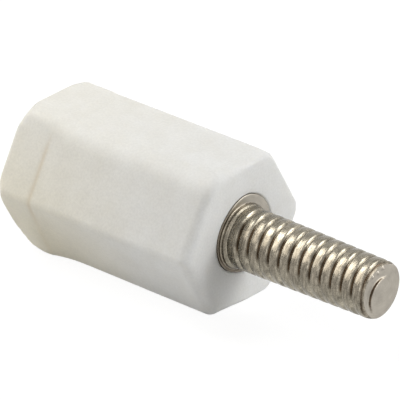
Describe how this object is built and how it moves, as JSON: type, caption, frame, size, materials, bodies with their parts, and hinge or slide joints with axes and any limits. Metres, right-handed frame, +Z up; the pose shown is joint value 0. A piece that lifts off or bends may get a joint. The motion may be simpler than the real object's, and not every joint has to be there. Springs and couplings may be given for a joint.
{
  "type": "hex standoff",
  "caption": "Male-female hexagonal spacer with a plastic body, a metal threaded stud at one end and a metal threaded insert at the other.",
  "frame": {"origin": "centre of the shoulder, the plastic end face that the stud stands out of, on the stud's axis", "axes": "+X along the stud, away from the body; +Z up, with the body lying on one of its six flats"},
  "size_m": [0.027, 0.0108, 0.0096],
  "materials": {
    "body_nylon": "satin off-white nylon",
    "stud_metal": "satin, rolled thread",
    "insert_metal": "satin, turned"
  },
  "bodies": {
    "root": {"hex_body": "body_nylon", "threaded_stud": "stud_metal", "threaded_insert": "insert_metal"}
  },
  "joints": []
}
